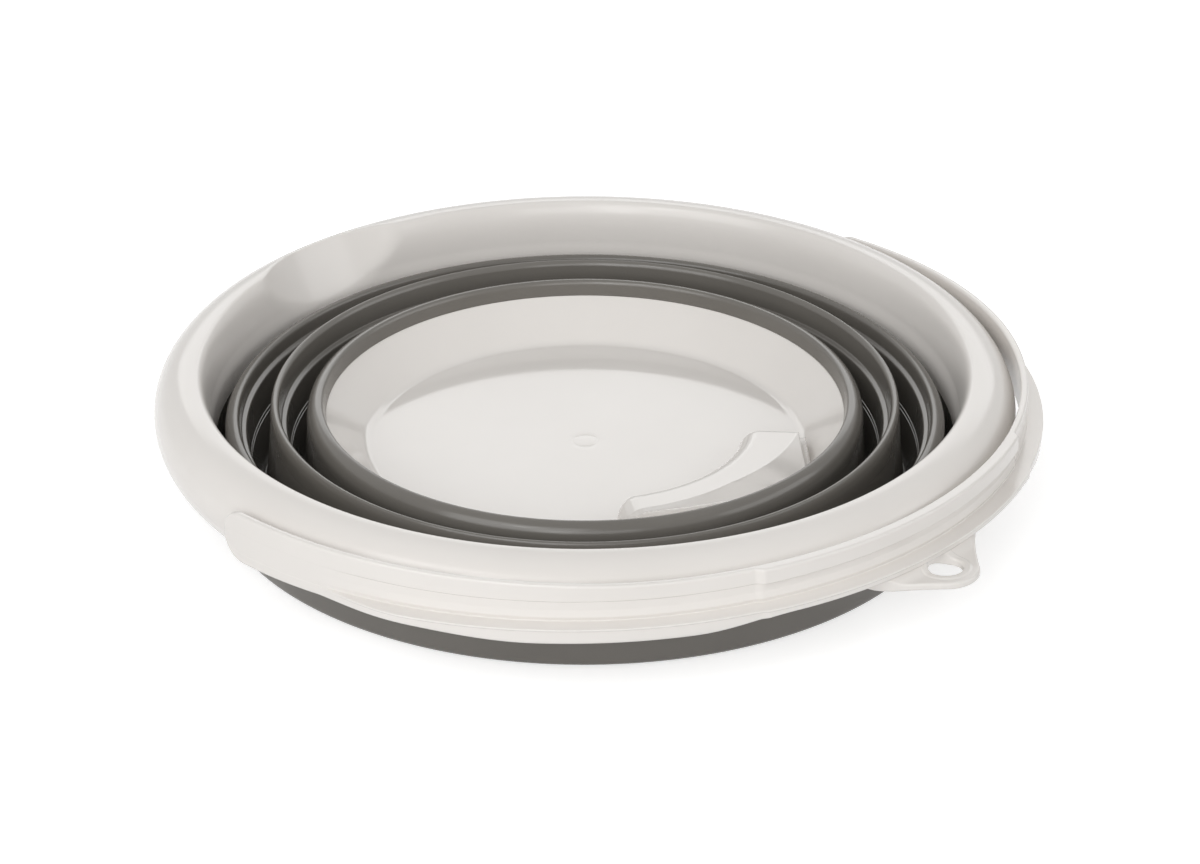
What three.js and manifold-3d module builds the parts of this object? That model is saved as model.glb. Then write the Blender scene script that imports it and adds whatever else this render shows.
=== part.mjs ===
// Collapsible bucket, folded flat: a rigid rim with a pouring lip and a swinging bail handle,
// a soft wall folded into three ridges, and a rigid base dish with a foot and a finger recess.
// Millimetres, +Z up, the bucket's axis on Z, the ground at Z = 0.
// The handle's pivots lie on X, the pouring lip looks along +Y and the handle lies round -Y.

import * as THREE from "three";
import { mergeVertices } from "three/addons/utils/BufferGeometryUtils.js";
import Module from "manifold-3d";

// How finely round shapes are cut
const ROUND_SEGMENTS = 48;
const HANDLE_SEGMENTS = 36;
const BORE_SEGMENTS = 24;
const TAB_SEGMENTS = 10;
const ARC_STEP_LENGTH = 3.4;
const ARC_STEP_ANGLE = 50;

// Gap left between neighbours that touch in the real bucket
const SEAM = 0.3;

// Rim: an inverted channel with a broad rounded top
const RIM_OUTER_RADIUS = 156.4;
const RIM_INNER_RADIUS = 134.8;
const RIM_TOP = 50;
const RIM_ROLL = 14.8;
const RIM_INNER_EDGE = 5.2;
const RIM_THICKNESS = 2.4;
const RIM_WALL_BOTTOM = 22.3;
const RIM_LIP_ANGLE = 40;

// Pouring lip: a scoop in the inner half of the rim
const SPOUT_SCOOP_RADIUS = 60;
const SPOUT_FOOT_RISE = 4.7;
const SPOUT_MOUTH_SHARE = 0.588;
const SPOUT_REACH = 60;

// Soft wall: one thickness all through, folded down between the ridges.
// Each inset is counted inwards from the face or fold before it.
const WALL_THICKNESS = 2;
const FOLD_ROUND = 2.6;
const FOLD_BOTTOM = 1.1;
const OUTER_FOLD_INSET = 1.7;
const MIDDLE_FOLD_INSET = 7.9;
const INNER_FOLD_INSET = 6.4;

// Ridges: rounded beads, each with a ledge and a fine step on its inner face
const OUTER_RIDGE_INSET = 2;
const OUTER_RIDGE_WIDTH = 5.6;
const OUTER_RIDGE_TOP = 32.7;
const INNER_RIDGE_INSET = 3;
const INNER_RIDGE_WIDTH = 4.6;
const INNER_RIDGE_TOP = 37.4;
const RIDGE_DEPTH = 8.9;
const LEDGE_WIDTH = 1.4;
const LEDGE_FALL = 0.5;
const STEP_DEPTH = 18.7;
const STEP_WIDTH = 0.5;
const STEP_INSET = 3.6;

// Collar: the innermost ridge, moulded over the edge of the base dish
const COLLAR_INSET = 2.2;
const COLLAR_OUTER_HALF = 4.1;
const COLLAR_INNER_HALF = 3;
const COLLAR_CROWN_HEIGHT = 4.3;
const COLLAR_SHOULDER_RISE = 1.5;
const COLLAR_SKIRT_LENGTH = 3.4;

// Base: a dish with a flat floor and a sloping wall, on a foot of a ring, ribs and a hub
const FLOOR_HEIGHT = 17.5;
const DISH_THICKNESS = 2.2;
const DISH_WALL_HEIGHT = 13.5;
const DISH_WALL_RUN = 14.8;
const FOOT_INSET = 0.9;
const FOOT_THICKNESS = 2.4;
const HUB_RADIUS = 10;
const RIB_COUNT = 6;
const RIB_THICKNESS = 2;
const RIB_BOTTOM = 5;

// Finger recess: a raised part of the floor below the handle's middle
const RECESS_REACH = 19.5;
const RECESS_LEVEL_WIDTH = 14;
const RECESS_HEIGHT = 8;
const RECESS_HALF_ANGLE = 36;

// Handle: an arched strip with a bead along its top, a flange along its foot and a grip
const PIVOT_DROP = 15.4;
const HANDLE_TILT = 2;
const HANDLE_CLEARANCE = 1.2;
const STRIP_THICKNESS = 2.4;
const STRIP_HEIGHT = 17.2;
const BEAD_DEPTH = 1.2;
const BEAD_HEIGHT = 6.4;
const END_ANGLE = 93;
const PLAIN_END_ANGLE = 80;
const PLAIN_END_TAPER = 8;
const FLANGE_DEPTH = 6.3;
const FLANGE_HEIGHT = 3.4;
const FLANGE_START_ANGLE = 7;
const FLANGE_TAPER_ANGLE = 16;
const GRIP_HALF_ANGLE = 25.7;
const GRIP_DEPTH = 2.6;
const TAB_ROOT_HALF_WIDTH = 27;
const TAB_EYE_REACH = 11.3;
const TAB_TIP_ROUND = 11.2;
const TAB_TIP_ANGLE = 38;
const TAB_NECK_HALF_WIDTH = 13.5;
const TAB_HEIGHT = 3.2;
const TAB_DROP = 1.6;
const EYE_RADIUS = 5.9;

// Pivots: stubs on the rim inside blind holes in the handle's ends
const STUB_RADIUS = 4;
const STUB_REACH = 3;
const STUB_CLEARANCE = 0.3;

// Colours and surface of the two plastics
const HARD_COLOUR = "#e4e0da";
const HARD_ROUGHNESS = 0.28;
const SOFT_COLOUR = "#6f6b66";
const SOFT_ROUGHNESS = 0.55;

// Radii and heights that follow from the sizes above, from the rim inwards
const OUTER_FOLD_RADIUS = RIM_INNER_RADIUS - OUTER_FOLD_INSET;
const OUTER_RIDGE_RADIUS = OUTER_FOLD_RADIUS - OUTER_RIDGE_INSET;
const MIDDLE_FOLD_RADIUS = OUTER_RIDGE_RADIUS - OUTER_RIDGE_WIDTH - MIDDLE_FOLD_INSET;
const INNER_RIDGE_RADIUS = MIDDLE_FOLD_RADIUS - INNER_RIDGE_INSET;
const INNER_FOLD_RADIUS = INNER_RIDGE_RADIUS - INNER_RIDGE_WIDTH - INNER_FOLD_INSET;
const COLLAR_RADIUS = INNER_FOLD_RADIUS - COLLAR_INSET;
const COLLAR_TOP_RADIUS = COLLAR_RADIUS - COLLAR_OUTER_HALF;
const DISH_EDGE_RADIUS = COLLAR_TOP_RADIUS - COLLAR_INNER_HALF;
const FLOOR_RADIUS = DISH_EDGE_RADIUS - DISH_WALL_RUN;
const FOOT_RADIUS = FLOOR_RADIUS - FOOT_INSET;
const RECESS_INNER_RADIUS = FLOOR_RADIUS - RECESS_REACH;
const RECESS_LEVEL_RADIUS = RECESS_INNER_RADIUS + RECESS_LEVEL_WIDTH;
const DISH_EDGE_HEIGHT = FLOOR_HEIGHT + DISH_WALL_HEIGHT;
const COLLAR_SHOULDER = DISH_EDGE_HEIGHT + COLLAR_SHOULDER_RISE;
const COLLAR_SKIRT_BOTTOM = DISH_EDGE_HEIGHT - COLLAR_SKIRT_LENGTH;
const FOLD_HEIGHT = FOLD_BOTTOM + FOLD_ROUND;
const FOLD_INSIDE = FOLD_ROUND - WALL_THICKNESS;
const PIVOT_HEIGHT = RIM_TOP - PIVOT_DROP;
const STRIP_INNER_RADIUS = RIM_OUTER_RADIUS + HANDLE_CLEARANCE;
const STRIP_OUTER_RADIUS = STRIP_INNER_RADIUS + STRIP_THICKNESS;
const STRIP_TOP = STRIP_HEIGHT / 2;
const STRIP_BOTTOM = -STRIP_HEIGHT / 2;
const HANDLE_MIDDLE_ANGLE = 270;
const PIVOT_ANGLE = 90;
const DISH_SLOPE = DISH_WALL_HEIGHT / DISH_WALL_RUN;
const DISH_EDGE_WIDTH = DISH_THICKNESS * Math.hypot(1, 1 / DISH_SLOPE);
const FLOOR_UNDERSIDE = FLOOR_HEIGHT - DISH_THICKNESS;
const FOOT_TOP = FLOOR_UNDERSIDE - SEAM;

const wasm = await Module();
wasm.setup();

const hardPlastic = new THREE.MeshStandardMaterial({
  color: HARD_COLOUR,
  roughness: HARD_ROUGHNESS,
  metalness: 0,
});
const softPlastic = new THREE.MeshStandardMaterial({
  color: SOFT_COLOUR,
  roughness: SOFT_ROUGHNESS,
  metalness: 0,
});

// A point of a section: radius from the bucket's axis and height above the ground.
function at(radius, height) {
  return new THREE.Vector2(radius, height);
}

// A point in plan at an angle from +X.
function polar(radius, degrees) {
  const angle = THREE.MathUtils.degToRad(degrees);
  return new THREE.Vector2(radius * Math.cos(angle), radius * Math.sin(angle));
}

// Points of a circular arc in a section, with angles counted from outwards towards up.
function arc(centre, radius, fromDegrees, toDegrees) {
  const turn = toDegrees - fromDegrees;
  const length = radius * Math.abs(THREE.MathUtils.degToRad(turn));
  const byAngle = Math.abs(turn) / ARC_STEP_ANGLE;
  const steps = Math.ceil(Math.max(byAngle, length / ARC_STEP_LENGTH));
  const points = [];
  for (let i = 0; i <= steps; i += 1) {
    const angle = fromDegrees + (turn * i) / steps;
    points.push(polar(radius, angle).add(centre));
  }
  return points;
}

// A solid of revolution; a section that doesn't start on the axis is closed on itself.
function revolve(section) {
  const points = [...section];
  if (points[0].x > 0) {
    points.push(points[0].clone());
  }
  const geometry = new THREE.LatheGeometry(points, ROUND_SEGMENTS);
  geometry.rotateX(Math.PI / 2);
  return geometry;
}

// A plan outline raised from one height to another.
function raise(shape, bottom, top, curveSegments) {
  const geometry = new THREE.ExtrudeGeometry(shape, {
    depth: top - bottom,
    bevelEnabled: false,
    curveSegments,
  });
  geometry.translate(0, 0, bottom);
  return geometry;
}

// A round bar along X between two positions, centred on a height.
function barAlongX(radius, fromX, toX, height) {
  const geometry = new THREE.CylinderGeometry(radius, radius, toX - fromX, BORE_SEGMENTS);
  geometry.rotateZ(Math.PI / 2);
  geometry.translate((fromX + toX) / 2, 0, height);
  return geometry;
}

function toSolid(geometry) {
  const bare = geometry.clone();
  bare.deleteAttribute("normal");
  bare.deleteAttribute("uv");
  const merged = mergeVertices(bare);
  return new wasm.Manifold(
    new wasm.Mesh({
      numProp: 3,
      vertProperties: new Float32Array(merged.attributes.position.array),
      triVerts: new Uint32Array(merged.index.array),
    }),
  );
}

function toGeometry(solid) {
  const mesh = solid.getMesh();
  const geometry = new THREE.BufferGeometry();
  geometry.setAttribute("position", new THREE.BufferAttribute(mesh.vertProperties, 3));
  geometry.setIndex(new THREE.BufferAttribute(mesh.triVerts, 1));
  geometry.computeVertexNormals();
  return geometry;
}

function piece(name, geometry, material) {
  const mesh = new THREE.Mesh(geometry, material);
  mesh.name = name;
  return mesh;
}

const rollCentre = at(RIM_OUTER_RADIUS - RIM_ROLL, RIM_TOP - RIM_ROLL);
const innerEdgeCentre = at(RIM_INNER_RADIUS + RIM_INNER_EDGE, RIM_TOP - RIM_INNER_EDGE);

// The rim's section: the channel's outer skin one way, its inner skin back.
function rimSection() {
  const insideRadius = RIM_INNER_RADIUS + RIM_THICKNESS;
  return [
    at(insideRadius, RIM_WALL_BOTTOM),
    ...arc(innerEdgeCentre, RIM_INNER_EDGE - RIM_THICKNESS, 180, 90),
    ...arc(rollCentre, RIM_ROLL - RIM_THICKNESS, 90, -RIM_LIP_ANGLE),
    ...arc(rollCentre, RIM_ROLL, -RIM_LIP_ANGLE, 90),
    ...arc(innerEdgeCentre, RIM_INNER_EDGE, 90, 180),
    at(RIM_INNER_RADIUS, RIM_WALL_BOTTOM),
  ];
}

// The rim's section with its channel filled, from which the pouring lip is carved.
function filledRimSection() {
  return [
    at(RIM_INNER_RADIUS, RIM_WALL_BOTTOM),
    at(rollCentre.x, RIM_WALL_BOTTOM),
    ...arc(rollCentre, RIM_ROLL, -RIM_LIP_ANGLE, 90),
    ...arc(innerEdgeCentre, RIM_INNER_EDGE, 90, 180),
  ];
}

// The scoop: a round bar leaning outwards, its lowest line from the wall to the mouth.
function scoop(margin) {
  const mouthRadius = THREE.MathUtils.lerp(RIM_INNER_RADIUS, RIM_OUTER_RADIUS, SPOUT_MOUTH_SHARE);
  const foot = new THREE.Vector3(0, RIM_INNER_RADIUS, RIM_WALL_BOTTOM + SPOUT_FOOT_RISE);
  const mouth = new THREE.Vector3(0, mouthRadius, RIM_TOP);
  const along = mouth.clone().sub(foot).normalize();
  const inwards = new THREE.Vector3(0, -along.z, along.y);
  const bar = new THREE.CylinderGeometry(
    SPOUT_SCOOP_RADIUS + margin,
    SPOUT_SCOOP_RADIUS + margin,
    SPOUT_REACH * 2,
    ROUND_SEGMENTS,
  );
  bar.applyQuaternion(new THREE.Quaternion().setFromUnitVectors(new THREE.Vector3(0, 1, 0), along));
  const centre = mouth.addScaledVector(inwards, SPOUT_SCOOP_RADIUS);
  bar.translate(centre.x, centre.y, centre.z);
  return toSolid(bar);
}

function buildRim() {
  const lip = toSolid(revolve(filledRimSection())).intersect(scoop(RIM_THICKNESS));
  let solid = toSolid(revolve(rimSection())).add(lip).subtract(scoop(0));
  const root = RIM_OUTER_RADIUS - RIM_THICKNESS / 2;
  const tip = RIM_OUTER_RADIUS + STUB_REACH;
  solid = solid.add(toSolid(barAlongX(STUB_RADIUS, root, tip, PIVOT_HEIGHT)));
  solid = solid.add(toSolid(barAlongX(STUB_RADIUS, -tip, -root, PIVOT_HEIGHT)));
  return toGeometry(solid);
}

// How far an arc of a fold turns before it meets the seam at the fold's lowest line.
function turnToSeam(radius) {
  return THREE.MathUtils.radToDeg(Math.acos(SEAM / 2 / radius));
}

// The outer half of a fold, from the inside of the fold round to the outside.
function foldOuterHalf(foldRadius) {
  const centre = at(foldRadius, FOLD_HEIGHT);
  return [
    ...arc(centre, FOLD_INSIDE, 0, -turnToSeam(FOLD_INSIDE)),
    ...arc(centre, FOLD_ROUND, -turnToSeam(FOLD_ROUND), 0),
  ];
}

// The inner half of a fold, from the outside of the fold round to the inside.
function foldInnerHalf(foldRadius) {
  const centre = at(foldRadius, FOLD_HEIGHT);
  return [
    ...arc(centre, FOLD_ROUND, 180, 180 + turnToSeam(FOLD_ROUND)),
    ...arc(centre, FOLD_INSIDE, 180 + turnToSeam(FOLD_INSIDE), 180),
  ];
}

// The soft wall's upper edge, below the rim, down to the outer half of the outer fold.
function upperWallSection() {
  const top = RIM_WALL_BOTTOM - SEAM;
  return [
    at(RIM_INNER_RADIUS, top),
    ...foldOuterHalf(OUTER_FOLD_RADIUS),
    at(RIM_INNER_RADIUS + RIM_THICKNESS, top),
  ];
}

// A band that turns over when the bucket opens, from a fold up to a ridge's outer side.
function flipBandSection(foldRadius, ridgeRadius, top) {
  return [
    at(ridgeRadius - WALL_THICKNESS, top),
    ...foldInnerHalf(foldRadius),
    at(ridgeRadius, top),
  ];
}

// A ridge with the band that hangs from its inner side down to the next fold inwards.
function ridgeSection(ridge) {
  const beadInner = ridge.radius - ridge.width;
  const beadRound = ridge.width / 2;
  const beadCentre = at(beadInner + beadRound, ridge.top - beadRound);
  const ledgeHeight = ridge.top - RIDGE_DEPTH;
  const ledgeRadius = beadInner - LEDGE_WIDTH;
  const stepHeight = ridge.top - STEP_DEPTH;
  const stepRadius = beadInner - STEP_INSET;
  return [
    ...arc(beadCentre, beadRound, 0, 180),
    at(beadInner, ledgeHeight),
    at(ledgeRadius, ledgeHeight - LEDGE_FALL),
    at(stepRadius + STEP_WIDTH, stepHeight),
    at(stepRadius, stepHeight - LEDGE_FALL),
    ...foldOuterHalf(ridge.foldRadius),
    at(ledgeRadius + WALL_THICKNESS, ledgeHeight),
    at(ridge.radius, ledgeHeight),
  ];
}

const outerRidge = {
  radius: OUTER_RIDGE_RADIUS,
  width: OUTER_RIDGE_WIDTH,
  top: OUTER_RIDGE_TOP,
  foldRadius: MIDDLE_FOLD_RADIUS,
};
const innerRidge = {
  radius: INNER_RIDGE_RADIUS,
  width: INNER_RIDGE_WIDTH,
  top: INNER_RIDGE_TOP,
  foldRadius: INNER_FOLD_RADIUS,
};

function bandBelow(foldRadius, ridge) {
  return flipBandSection(foldRadius, ridge.radius, ridge.top - RIDGE_DEPTH - SEAM);
}

// The collar: a rounded ridge on the dish's edge with a skirt outside it.
function collarSection() {
  const bottom = DISH_EDGE_HEIGHT + SEAM;
  const outside = at(COLLAR_TOP_RADIUS, COLLAR_SHOULDER);
  const crown = arc(at(0, 0), COLLAR_OUTER_HALF, 0, 180).map((p) => {
    const across = p.x > 0 ? 1 : COLLAR_INNER_HALF / COLLAR_OUTER_HALF;
    return at(p.x * across, (p.y * COLLAR_CROWN_HEIGHT) / COLLAR_OUTER_HALF).add(outside);
  });
  return [
    at(COLLAR_RADIUS, COLLAR_SKIRT_BOTTOM),
    ...crown,
    at(DISH_EDGE_RADIUS, bottom),
    at(COLLAR_RADIUS - WALL_THICKNESS, bottom),
    at(COLLAR_RADIUS - WALL_THICKNESS, COLLAR_SKIRT_BOTTOM),
  ];
}

// Radius of the dish wall's outer face at a height.
function dishOuterRadius(height) {
  return DISH_EDGE_RADIUS + DISH_EDGE_WIDTH - (DISH_EDGE_HEIGHT - height) / DISH_SLOPE;
}

function dishSection() {
  return [
    at(0, FLOOR_UNDERSIDE),
    at(dishOuterRadius(FLOOR_UNDERSIDE), FLOOR_UNDERSIDE),
    at(DISH_EDGE_RADIUS + DISH_EDGE_WIDTH, DISH_EDGE_HEIGHT),
    at(DISH_EDGE_RADIUS, DISH_EDGE_HEIGHT),
    at(FLOOR_RADIUS, FLOOR_HEIGHT),
    at(0, FLOOR_HEIGHT),
  ];
}

// The raised floor over the finger recess, level at first and then rising to the edge.
function raisedFloorSection() {
  const level = FLOOR_HEIGHT + RECESS_HEIGHT;
  return [
    at(RECESS_INNER_RADIUS, FLOOR_UNDERSIDE),
    at(dishOuterRadius(FLOOR_UNDERSIDE), FLOOR_UNDERSIDE),
    at(DISH_EDGE_RADIUS + DISH_EDGE_WIDTH, DISH_EDGE_HEIGHT),
    at(DISH_EDGE_RADIUS, DISH_EDGE_HEIGHT),
    at(RECESS_LEVEL_RADIUS, level),
    at(RECESS_INNER_RADIUS, level),
  ];
}

// The hollow under the raised floor, open below and outwards.
function recessSection() {
  const inner = RECESS_INNER_RADIUS + DISH_THICKNESS;
  const outer = DISH_EDGE_RADIUS + DISH_EDGE_WIDTH + SEAM;
  const top = FLOOR_UNDERSIDE + RECESS_HEIGHT;
  const edgeUnderside = DISH_EDGE_HEIGHT - DISH_THICKNESS;
  return [
    at(inner, -DISH_THICKNESS),
    at(outer, -DISH_THICKNESS),
    at(outer, edgeUnderside),
    at(DISH_EDGE_RADIUS, edgeUnderside),
    at(RECESS_LEVEL_RADIUS, top),
    at(inner, top),
  ];
}

// A wedge about the handle's middle direction, as a plan outline from the axis outwards.
function wedge(halfAngle, height) {
  const reach = DISH_EDGE_RADIUS * 2;
  const shape = new THREE.Shape([
    at(0, 0),
    polar(reach, HANDLE_MIDDLE_ANGLE - halfAngle),
    polar(reach, HANDLE_MIDDLE_ANGLE),
    polar(reach, HANDLE_MIDDLE_ANGLE + halfAngle),
  ]);
  return toSolid(raise(shape, -height, height, 1));
}

function recess() {
  const sideWall = THREE.MathUtils.radToDeg(DISH_THICKNESS / RECESS_LEVEL_RADIUS);
  return toSolid(revolve(recessSection())).intersect(
    wedge(RECESS_HALF_ANGLE - sideWall, DISH_EDGE_RADIUS),
  );
}

function buildDish() {
  const raised = toSolid(revolve(raisedFloorSection())).intersect(
    wedge(RECESS_HALF_ANGLE, DISH_EDGE_RADIUS),
  );
  const solid = toSolid(revolve(dishSection())).add(raised);
  return toGeometry(solid.subtract(recess()));
}

function hubSection() {
  return [at(0, 0), at(HUB_RADIUS, 0), at(HUB_RADIUS, FOOT_TOP), at(0, FOOT_TOP)];
}

function ringFootSection() {
  const inner = FOOT_RADIUS - FOOT_THICKNESS;
  return [at(inner, 0), at(FOOT_RADIUS, 0), at(FOOT_RADIUS, FOOT_TOP), at(inner, FOOT_TOP)];
}

// A rib from the middle of the hub to the middle of the ring foot.
function rib(index) {
  const length = FOOT_RADIUS - FOOT_THICKNESS / 2;
  const bar = new THREE.BoxGeometry(length, RIB_THICKNESS, FOOT_TOP - RIB_BOTTOM);
  bar.translate(length / 2, 0, (RIB_BOTTOM + FOOT_TOP) / 2);
  bar.rotateZ(((index + 0.5) * 2 * Math.PI) / RIB_COUNT);
  return toSolid(bar);
}

function buildFoot() {
  let solid = toSolid(revolve(hubSection())).add(toSolid(revolve(ringFootSection())));
  for (let i = 0; i < RIB_COUNT; i += 1) {
    solid = solid.add(rib(i));
  }
  return toGeometry(solid.subtract(recess()));
}

// Plan outline of a band along the handle whose outer radius is a function of the angle.
function bandOutline(halfAngle, outerRadius) {
  const outer = [];
  const inner = [];
  for (let i = 0; i <= HANDLE_SEGMENTS; i += 1) {
    const offset = halfAngle * ((2 * i) / HANDLE_SEGMENTS - 1);
    outer.push(polar(outerRadius(offset), HANDLE_MIDDLE_ANGLE + offset));
    inner.push(polar(STRIP_INNER_RADIUS, HANDLE_MIDDLE_ANGLE + offset));
  }
  return new THREE.Shape([...outer, ...inner.reverse()]);
}

function band(halfAngle, outerRadius, bottom, top) {
  return toSolid(raise(bandOutline(halfAngle, outerRadius), bottom, top, 1));
}

// The flange grows from nothing near the pivots to its full depth.
function flangeRadius(offset) {
  const fromPivot = PIVOT_ANGLE - FLANGE_START_ANGLE - Math.abs(offset);
  const growth = THREE.MathUtils.smoothstep(fromPivot, 0, FLANGE_TAPER_ANGLE);
  return STRIP_OUTER_RADIUS + FLANGE_DEPTH * growth;
}

// The hanging tab at the handle's middle, rounded about its eye.
function buildTab() {
  const root = -STRIP_OUTER_RADIUS;
  const neck = -(STRIP_OUTER_RADIUS + FLANGE_DEPTH);
  const eye = at(0, -(STRIP_OUTER_RADIUS + TAB_EYE_REACH));
  const left = polar(TAB_TIP_ROUND, 180 + TAB_TIP_ANGLE).add(eye);
  const shape = new THREE.Shape();
  shape.moveTo(TAB_ROOT_HALF_WIDTH, root);
  shape.lineTo(-TAB_ROOT_HALF_WIDTH, root);
  shape.quadraticCurveTo(-TAB_NECK_HALF_WIDTH, neck, left.x, left.y);
  shape.absarc(
    eye.x,
    eye.y,
    TAB_TIP_ROUND,
    THREE.MathUtils.degToRad(180 + TAB_TIP_ANGLE),
    THREE.MathUtils.degToRad(360 - TAB_TIP_ANGLE),
    false,
  );
  shape.quadraticCurveTo(TAB_NECK_HALF_WIDTH, neck, TAB_ROOT_HALF_WIDTH, root);
  const hole = new THREE.Path();
  hole.absarc(eye.x, eye.y, EYE_RADIUS, 0, 2 * Math.PI, true);
  shape.holes.push(hole);
  const bottom = STRIP_BOTTOM - TAB_DROP;
  return toSolid(raise(shape, bottom, bottom + TAB_HEIGHT, TAB_SEGMENTS));
}

// The strip's thickness grows to that of the bead towards its plain ends.
function stripRadius(offset) {
  const plainFrom = PLAIN_END_ANGLE - PLAIN_END_TAPER;
  const growth = THREE.MathUtils.smoothstep(Math.abs(offset), plainFrom, PLAIN_END_ANGLE);
  return STRIP_OUTER_RADIUS + BEAD_DEPTH * growth;
}

// The round end of the strip, beyond the pivot.
function roundEnd(side) {
  const end = barAlongX(STRIP_TOP, STRIP_INNER_RADIUS, STRIP_OUTER_RADIUS + BEAD_DEPTH, 0);
  end.rotateZ(THREE.MathUtils.degToRad(HANDLE_MIDDLE_ANGLE + side * END_ANGLE));
  return toSolid(end);
}

// The blind hole for the rim's stub on the pivots' axis.
function stubHole(side) {
  const bottom = RIM_OUTER_RADIUS + STUB_REACH + STUB_CLEARANCE;
  const hole = barAlongX(STUB_RADIUS + STUB_CLEARANCE, RIM_INNER_RADIUS, bottom, 0);
  hole.rotateZ(THREE.MathUtils.degToRad(HANDLE_MIDDLE_ANGLE + side * PIVOT_ANGLE));
  return toSolid(hole);
}

function buildHandle() {
  const beadBottom = STRIP_TOP - BEAD_HEIGHT;
  const flangeTop = STRIP_BOTTOM + FLANGE_HEIGHT;
  let solid = band(END_ANGLE, stripRadius, STRIP_BOTTOM, STRIP_TOP);
  solid = solid.add(
    band(PLAIN_END_ANGLE, () => STRIP_OUTER_RADIUS + BEAD_DEPTH, beadBottom, STRIP_TOP),
  );
  solid = solid.add(band(PIVOT_ANGLE, flangeRadius, STRIP_BOTTOM, flangeTop));
  solid = solid.add(
    band(GRIP_HALF_ANGLE, () => STRIP_OUTER_RADIUS + GRIP_DEPTH, STRIP_BOTTOM, STRIP_TOP),
  );
  solid = solid.add(buildTab());
  for (const side of [-1, 1]) {
    solid = solid.add(roundEnd(side)).subtract(stubHole(side));
  }
  const geometry = toGeometry(solid);
  geometry.rotateX(-THREE.MathUtils.degToRad(HANDLE_TILT));
  geometry.translate(0, 0, PIVOT_HEIGHT);
  return geometry;
}

const bucket = new THREE.Group();
bucket.name = "collapsible_bucket";
bucket.add(
  piece("base_foot", buildFoot(), hardPlastic),
  piece("base_dish", buildDish(), hardPlastic),
  piece("base_collar", revolve(collarSection()), softPlastic),
  piece(
    "flip_band_inner",
    revolve(flipBandSection(INNER_FOLD_RADIUS, COLLAR_RADIUS, COLLAR_SKIRT_BOTTOM - SEAM)),
    softPlastic,
  ),
  piece("ridge_ring_inner", revolve(ridgeSection(innerRidge)), softPlastic),
  piece("flip_band_middle", revolve(bandBelow(MIDDLE_FOLD_RADIUS, innerRidge)), softPlastic),
  piece("ridge_ring_outer", revolve(ridgeSection(outerRidge)), softPlastic),
  piece("flip_band_outer", revolve(bandBelow(OUTER_FOLD_RADIUS, outerRidge)), softPlastic),
  piece("upper_wall", revolve(upperWallSection()), softPlastic),
  piece("rim_ring", buildRim(), hardPlastic),
  piece("bail_handle", buildHandle(), hardPlastic),
);

export default bucket;
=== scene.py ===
import math

import bmesh
import bpy
import numpy as np
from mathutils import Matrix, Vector


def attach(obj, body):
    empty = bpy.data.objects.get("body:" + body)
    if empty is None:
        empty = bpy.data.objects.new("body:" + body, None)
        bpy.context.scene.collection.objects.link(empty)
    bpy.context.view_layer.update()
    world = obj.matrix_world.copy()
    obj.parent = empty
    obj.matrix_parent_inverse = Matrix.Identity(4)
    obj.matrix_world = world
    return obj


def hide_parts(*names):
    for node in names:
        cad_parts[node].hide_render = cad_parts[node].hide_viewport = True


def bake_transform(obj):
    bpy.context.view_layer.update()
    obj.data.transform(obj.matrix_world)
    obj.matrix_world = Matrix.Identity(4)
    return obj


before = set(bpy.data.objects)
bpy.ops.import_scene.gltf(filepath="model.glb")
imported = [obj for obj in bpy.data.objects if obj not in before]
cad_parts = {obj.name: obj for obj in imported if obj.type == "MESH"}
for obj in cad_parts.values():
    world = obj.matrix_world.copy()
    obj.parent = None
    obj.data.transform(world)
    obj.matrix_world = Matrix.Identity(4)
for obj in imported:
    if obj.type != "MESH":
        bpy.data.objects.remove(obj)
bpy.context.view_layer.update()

# Foot: a ring, six ribs and a hub under the base, moulded in hard white polypropylene.
# It is one with the dish above it; the ring stops where the fingers reach in.
MM = 0.001
FOOT_RADIUS = 78.6
FOOT_WALL = 2.4
FOOT_TOP = 15.2
FOOT_EDGE = 0.7
FOOT_STEPS = 200
HUB_RADIUS = 10.0
RIB_COUNT = 6
RIB_HALF = 1.0
RIB_BOTTOM = 5.0
RIB_EDGE = 0.6
RIB_LAP = 1.0
RIB_STOP = 62.0
RECESS_FRONT = -90.0
FOOT_GAP_HALF = 34.3
CRISP = 0.1
NO_FILLET = 0.01
FILLET_SHARE = 0.45
FLAT_SHARE = 0.04
FLAT_MOST = 0.35
NEAR_ZERO = 1e-6


def rounded_section(corners, steps=6):
    """A closed outline in mm from corners (across, up, fillet), with an arc at each corner."""
    outline = []
    for i, (across, up, fillet) in enumerate(corners):
        here = np.array((across, up), float)
        back = np.array(corners[i - 1][:2], float) - here
        ahead = np.array(corners[(i + 1) % len(corners)][:2], float) - here
        back_length = max(np.linalg.norm(back), NEAR_ZERO)
        ahead_length = max(np.linalg.norm(ahead), NEAR_ZERO)
        back, ahead = back / back_length, ahead / ahead_length
        turn = math.acos(float(np.clip(back @ ahead, -1, 1)))
        reach = fillet / max(math.tan(turn / 2), NEAR_ZERO)
        reach = min(reach, FILLET_SHARE * back_length, FILLET_SHARE * ahead_length)
        start, end, weight = here + back * reach, here + ahead * reach, math.sin(turn / 2)
        outline.append(start + back * min(FLAT_MOST, FLAT_SHARE * back_length))
        for t in np.linspace(0, 1, steps + 1):
            a, b, c = (1 - t) ** 2, 2 * weight * t * (1 - t), t ** 2
            outline.append((a * start + b * here + c * end) / (a + b + c))
        outline.append(end + ahead * min(FLAT_MOST, FLAT_SHARE * ahead_length))
    return np.array(outline)


WELD = 1e-7
SHARP_ANGLE = 38


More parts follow.
